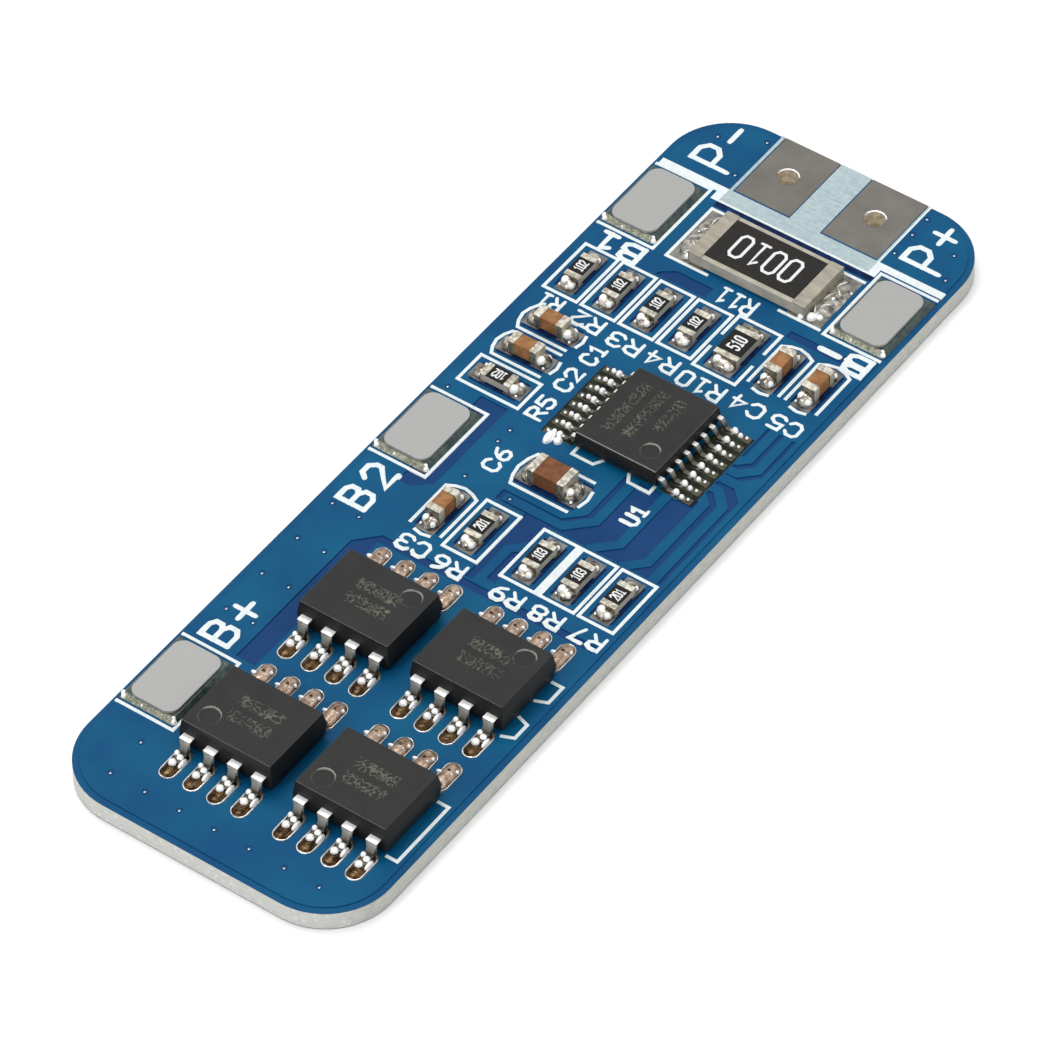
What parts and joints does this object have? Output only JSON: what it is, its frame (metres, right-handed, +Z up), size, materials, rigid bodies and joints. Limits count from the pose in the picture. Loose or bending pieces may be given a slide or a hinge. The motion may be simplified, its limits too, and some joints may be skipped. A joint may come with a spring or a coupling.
{
  "type": "battery management board",
  "caption": "Small rectangular circuit board with rounded corners, power transistors, a protection circuit, a shunt, chip parts, battery tabs and two output pads.",
  "frame": {"origin": "centre of the board at its underside", "axes": "+X along the board towards the two output pads, +Y towards the long edge with three battery tabs, +Z up out of the component side"},
  "size_m": [0.05, 0.016, 0.0026],
  "materials": {
    "fibreglass": "rough cut edge",
    "copper": "satin",
    "solder_mask": "semi gloss",
    "white_ink": "matt",
    "tinned_land": "dull tin",
    "nickel_tab": "satin",
    "solder": "bright solder",
    "moulded_epoxy": "fine matt",
    "tinned_lead": "bright tin",
    "alumina": "matt ceramic",
    "black_overcoat": "semi gloss glaze",
    "end_cap_metal": "satin tin",
    "capacitor_ceramic": "matt ceramic"
  },
  "bodies": {
    "root": {"fibreglass_core": "fibreglass", "top_copper": "copper", "top_solder_mask": "solder_mask", "bottom_solder_mask": "solder_mask", "top_legend": "white_ink", "component_lands": "tinned_land", "output_pad_minus": "tinned_land", "output_pad_plus": "tinned_land", "tab_b_plus": "nickel_tab", "tab_b_two": "nickel_tab", "tab_b_one": "nickel_tab", "tab_b_minus": "nickel_tab", "tab_solder_b_plus": "solder", "tab_solder_b_two": "solder", "tab_solder_b_one": "solder", "tab_solder_b_minus": "solder", "transistor_1_body": "moulded_epoxy", "transistor_2_body": "moulded_epoxy", "transistor_3_body": "moulded_epoxy", "transistor_4_body": "moulded_epoxy", "transistor_1_leads": "tinned_lead", "transistor_2_leads": "tinned_lead", "transistor_3_leads": "tinned_lead", "transistor_4_leads": "tinned_lead", "protection_circuit_body": "moulded_epoxy", "protection_circuit_leads": "tinned_lead", "shunt_ceramic": "alumina", "shunt_overcoat": "black_overcoat", "shunt_terminations": "end_cap_metal", "resistor_1": "alumina", "resistor_2": "alumina", "resistor_3": "alumina", "resistor_4": "alumina", "resistor_5": "alumina", "resistor_6": "alumina", "resistor_7": "alumina", "resistor_8": "alumina", "resistor_9": "alumina", "resistor_10": "alumina", "resistor_overcoats": "black_overcoat", "resistor_end_caps": "end_cap_metal", "capacitor_1": "capacitor_ceramic", "capacitor_2": "capacitor_ceramic", "capacitor_3": "capacitor_ceramic", "capacitor_4": "capacitor_ceramic", "capacitor_5": "capacitor_ceramic", "capacitor_6": "capacitor_ceramic", "capacitor_1_end_caps": "end_cap_metal", "capacitor_2_end_caps": "end_cap_metal", "capacitor_3_end_caps": "end_cap_metal", "capacitor_4_end_caps": "end_cap_metal", "capacitor_5_end_caps": "end_cap_metal", "capacitor_6_end_caps": "end_cap_metal", "transistor_solder": "solder", "circuit_solder": "solder", "chip_solder": "solder", "shunt_solder": "solder"}
  },
  "joints": []
}
